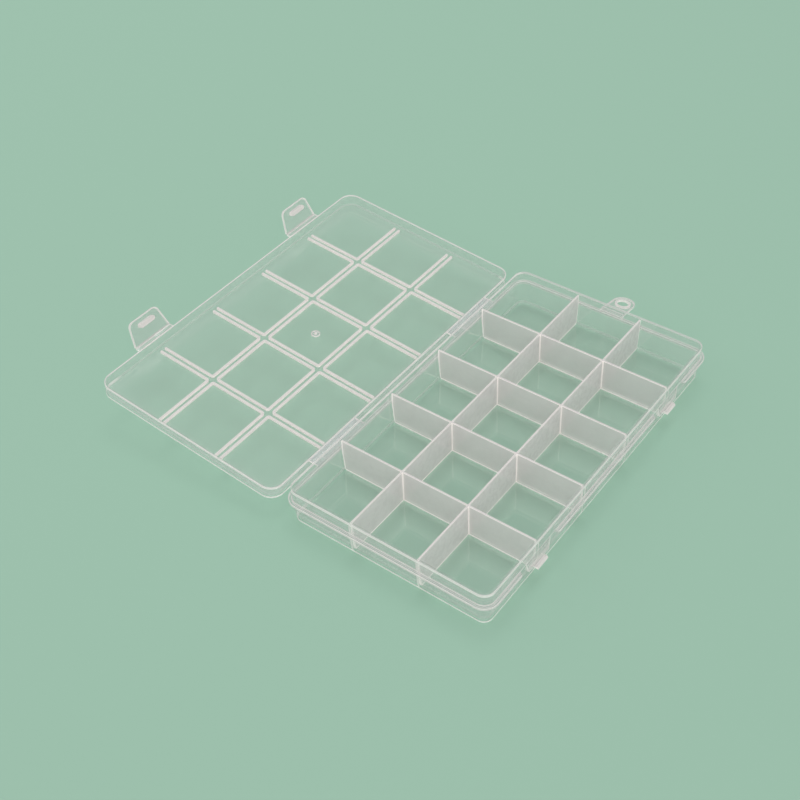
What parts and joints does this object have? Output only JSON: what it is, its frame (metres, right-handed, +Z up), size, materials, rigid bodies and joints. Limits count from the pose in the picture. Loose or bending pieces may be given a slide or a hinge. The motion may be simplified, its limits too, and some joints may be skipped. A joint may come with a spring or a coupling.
{
  "type": "compartment box",
  "caption": "Flat rectangular see-through box for beads and craft parts: a partitioned tray with one film-hinged lid, fold-over latch flaps and a hanging tab.",
  "frame": {"origin": "centre of the tray's underside, the surface it stands on", "axes": "+X across the tray towards the latches, +Y along the tray towards the hanging tab, +Z up out of the compartments"},
  "size_m": [0.2099, 0.1912, 0.0329],
  "materials": {
    "clear_panel": "milky clear polypropylene, smooth, thin walls seen through",
    "clear_edge": "the same polypropylene where it is seen along an edge or rib, whiter and denser"
  },
  "bodies": {
    "tray": {"tray_shell": "clear_panel", "rim_flange": "clear_edge", "long_divider_1": "clear_edge", "long_divider_2": "clear_edge", "cross_divider_1": "clear_edge", "cross_divider_2": "clear_edge", "cross_divider_3": "clear_edge", "cross_divider_4": "clear_edge", "latch_catch_near": "clear_edge", "latch_catch_far": "clear_edge", "hang_tab": "clear_edge", "tray_strap_near": "clear_panel", "tray_strap_far": "clear_panel"},
    "lid": {"lid_shell": "clear_panel", "lid_cell_ribs": "clear_edge", "gate_mark": "clear_edge", "lid_strap_near": "clear_panel", "lid_strap_far": "clear_panel", "latch_land_near": "clear_edge", "latch_land_far": "clear_edge"},
    "latch_near": {"latch_flap_near": "clear_panel", "latch_bar_near": "clear_edge"},
    "latch_far": {"latch_flap_far": "clear_panel", "latch_bar_far": "clear_edge"}
  },
  "joints": [
    {"name": "lid_hinge", "type": "hinge", "parent": "tray", "child": "lid", "pos_m": [-0.05165, 0, 0.0126], "axis": [0, 1, 0], "range_deg": [-8.5, 174.45]},
    {"name": "latch_near_fold", "type": "hinge", "parent": "lid", "child": "latch_near", "pos_m": [-0.15432, -0.0513, 0.02258], "axis": [0, 1, 0], "range_deg": [-61, 29]},
    {"name": "latch_far_fold", "type": "hinge", "parent": "lid", "child": "latch_far", "pos_m": [-0.15432, 0.0513, 0.02258], "axis": [0, 1, 0], "range_deg": [-65, 25]}
  ]
}
